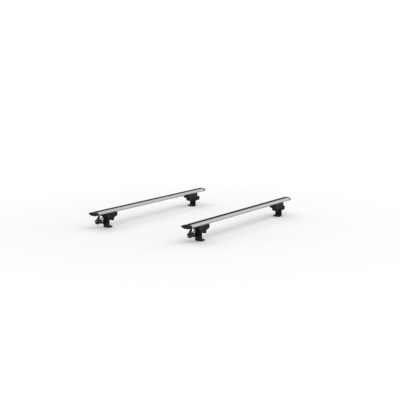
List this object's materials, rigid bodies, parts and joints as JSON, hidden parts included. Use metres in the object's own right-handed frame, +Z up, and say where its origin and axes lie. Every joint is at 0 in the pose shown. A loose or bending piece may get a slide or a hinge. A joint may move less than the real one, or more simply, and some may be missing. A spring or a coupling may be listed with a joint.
{
  "type": "roof cross bars",
  "caption": "Pair of wing-section aluminium roof cross bars with black clamp feet for raised side rails.",
  "frame": {"origin": "on the floor midway between the bars and between their ends, at the hooks' undersides", "axes": "+X along the bars, -Y towards the front of the car, +Z up"},
  "size_m": [1.27, 0.826, 0.1246],
  "materials": {
    "satin_aluminium": "satin anodised, fine grain along the bar",
    "black_rubber": "matte moulded rubber",
    "cap_plastic": "fine-textured moulding",
    "foot_plastic": "textured glass-filled moulding",
    "black_coated_metal": "black powder coat",
    "bolt_steel": "zinc plated"
  },
  "bodies": {
    "bars": {"front_cross_bar": "satin_aluminium", "front_track_strip": "black_rubber", "front_left_end_cap": "cap_plastic", "front_right_end_cap": "cap_plastic", "rear_cross_bar": "satin_aluminium", "rear_track_strip": "black_rubber", "rear_left_end_cap": "cap_plastic", "rear_right_end_cap": "cap_plastic"},
    "front_left_foot": {"front_left_foot_body": "foot_plastic", "front_left_bar_gasket": "black_rubber", "front_left_saddle_pad": "black_rubber", "front_left_cross_nut": "bolt_steel", "front_left_clamp_plate": "bolt_steel", "front_left_clamp_screws": "bolt_steel"},
    "front_left_clamp": {"front_left_claw": "black_coated_metal", "front_left_claw_pad": "black_rubber", "front_left_bolt_washer": "bolt_steel"},
    "front_left_bolt": {"front_left_tension_bolt": "bolt_steel"},
    "front_right_foot": {"front_right_foot_body": "foot_plastic", "front_right_bar_gasket": "black_rubber", "front_right_saddle_pad": "black_rubber", "front_right_cross_nut": "bolt_steel", "front_right_clamp_plate": "bolt_steel", "front_right_clamp_screws": "bolt_steel"},
    "front_right_clamp": {"front_right_claw": "black_coated_metal", "front_right_claw_pad": "black_rubber", "front_right_bolt_washer": "bolt_steel"},
    "front_right_bolt": {"front_right_tension_bolt": "bolt_steel"},
    "rear_left_foot": {"rear_left_foot_body": "foot_plastic", "rear_left_bar_gasket": "black_rubber", "rear_left_saddle_pad": "black_rubber", "rear_left_cross_nut": "bolt_steel", "rear_left_clamp_plate": "bolt_steel", "rear_left_clamp_screws": "bolt_steel"},
    "rear_left_clamp": {"rear_left_claw": "black_coated_metal", "rear_left_claw_pad": "black_rubber", "rear_left_bolt_washer": "bolt_steel"},
    "rear_left_bolt": {"rear_left_tension_bolt": "bolt_steel"},
    "rear_right_foot": {"rear_right_foot_body": "foot_plastic", "rear_right_bar_gasket": "black_rubber", "rear_right_saddle_pad": "black_rubber", "rear_right_cross_nut": "bolt_steel", "rear_right_clamp_plate": "bolt_steel", "rear_right_clamp_screws": "bolt_steel"},
    "rear_right_clamp": {"rear_right_claw": "black_coated_metal", "rear_right_claw_pad": "black_rubber", "rear_right_bolt_washer": "bolt_steel"},
    "rear_right_bolt": {"rear_right_tension_bolt": "bolt_steel"}
  },
  "joints": [
    {"name": "front_left_foot_slide", "type": "slide", "parent": "bars", "child": "front_left_foot", "axis": [1, 0, 0], "range_m": [-0.08, 0.04]},
    {"name": "front_left_clamp_slide", "type": "slide", "parent": "front_left_foot", "child": "front_left_clamp", "axis": [0.9272, 0, -0.3746], "range_m": [0, 0.015]},
    {"name": "front_left_bolt_turn", "type": "hinge", "parent": "front_left_clamp", "child": "front_left_bolt", "pos_m": [0.51, -0.372, 0.0805], "axis": [0.9272, 0, -0.3746], "range_deg": [0, 4320.5]},
    {"name": "front_right_foot_slide", "type": "slide", "parent": "bars", "child": "front_right_foot", "axis": [-1, 0, 0], "range_m": [-0.08, 0.04]},
    {"name": "front_right_clamp_slide", "type": "slide", "parent": "front_right_foot", "child": "front_right_clamp", "axis": [-0.9272, 0, -0.3746], "range_m": [0, 0.015]},
    {"name": "front_right_bolt_turn", "type": "hinge", "parent": "front_right_clamp", "child": "front_right_bolt", "pos_m": [-0.51, -0.372, 0.0805], "axis": [-0.9272, 0, -0.3746], "range_deg": [0, 4320.5]},
    {"name": "rear_left_foot_slide", "type": "slide", "parent": "bars", "child": "rear_left_foot", "axis": [1, 0, 0], "range_m": [-0.08, 0.04]},
    {"name": "rear_left_clamp_slide", "type": "slide", "parent": "rear_left_foot", "child": "rear_left_clamp", "axis": [0.9272, 0, -0.3746], "range_m": [0, 0.015]},
    {"name": "rear_left_bolt_turn", "type": "hinge", "parent": "rear_left_clamp", "child": "rear_left_bolt", "pos_m": [0.51, 0.378, 0.0805], "axis": [0.9272, 0, -0.3746], "range_deg": [0, 4320.5]},
    {"name": "rear_right_foot_slide", "type": "slide", "parent": "bars", "child": "rear_right_foot", "axis": [-1, 0, 0], "range_m": [-0.08, 0.04]},
    {"name": "rear_right_clamp_slide", "type": "slide", "parent": "rear_right_foot", "child": "rear_right_clamp", "axis": [-0.9272, 0, -0.3746], "range_m": [0, 0.015]},
    {"name": "rear_right_bolt_turn", "type": "hinge", "parent": "rear_right_clamp", "child": "rear_right_bolt", "pos_m": [-0.51, 0.378, 0.0805], "axis": [-0.9272, 0, -0.3746], "range_deg": [0, 4320.5]}
  ],
  "couplings": [
    {"joint": "front_left_bolt_turn", "follows": "front_left_clamp_slide", "rad_per_m": 5026.5},
    {"joint": "front_right_bolt_turn", "follows": "front_right_clamp_slide", "rad_per_m": 5026.5},
    {"joint": "rear_left_bolt_turn", "follows": "rear_left_clamp_slide", "rad_per_m": 5026.5},
    {"joint": "rear_right_bolt_turn", "follows": "rear_right_clamp_slide", "rad_per_m": 5026.5}
  ]
}
